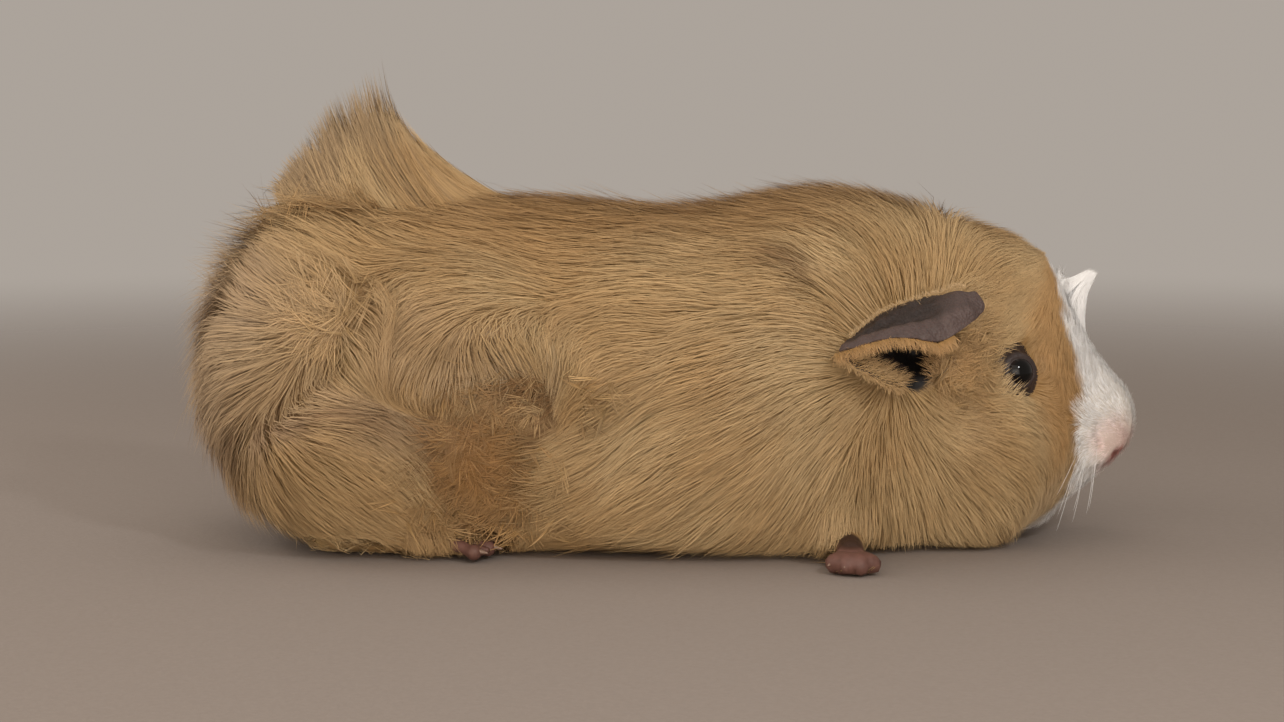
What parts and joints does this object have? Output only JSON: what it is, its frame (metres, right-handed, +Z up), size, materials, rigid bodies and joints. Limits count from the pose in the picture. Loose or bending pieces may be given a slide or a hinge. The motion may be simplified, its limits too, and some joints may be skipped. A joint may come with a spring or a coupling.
{
  "type": "guinea pig",
  "caption": "Still, life-size buff guinea pig with a white blaze and a rosetted coat, lying on its belly.",
  "frame": {"origin": "on the floor, under the middle of the animal's bounding box", "axes": "+X from rump to nose, +Y towards the animal's left, +Z up"},
  "size_m": [0.234, 0.1158, 0.1175],
  "materials": {
    "buff_coat": "soft fur",
    "white_coat": "soft fur",
    "pink_skin": "bare skin",
    "brown_skin": "bare skin",
    "eye": "wet gloss",
    "horn": "satin"
  },
  "bodies": {
    "root": {"chest": "buff_coat", "ear_left": "brown_skin", "ear_right": "brown_skin", "eye_left": "eye", "eye_right": "eye", "forefoot_left": "pink_skin", "forefoot_right": "pink_skin", "foreleg_left": "buff_coat", "foreleg_right": "buff_coat", "forelock": "white_coat", "head": "buff_coat", "hindfoot_left": "pink_skin", "hindfoot_right": "pink_skin", "lower_jaw": "white_coat", "neck": "buff_coat", "nose": "white_coat", "rump": "buff_coat", "rump_tuft": "buff_coat", "thigh_left": "buff_coat", "thigh_right": "buff_coat", "trunk": "buff_coat"}
  },
  "joints": []
}
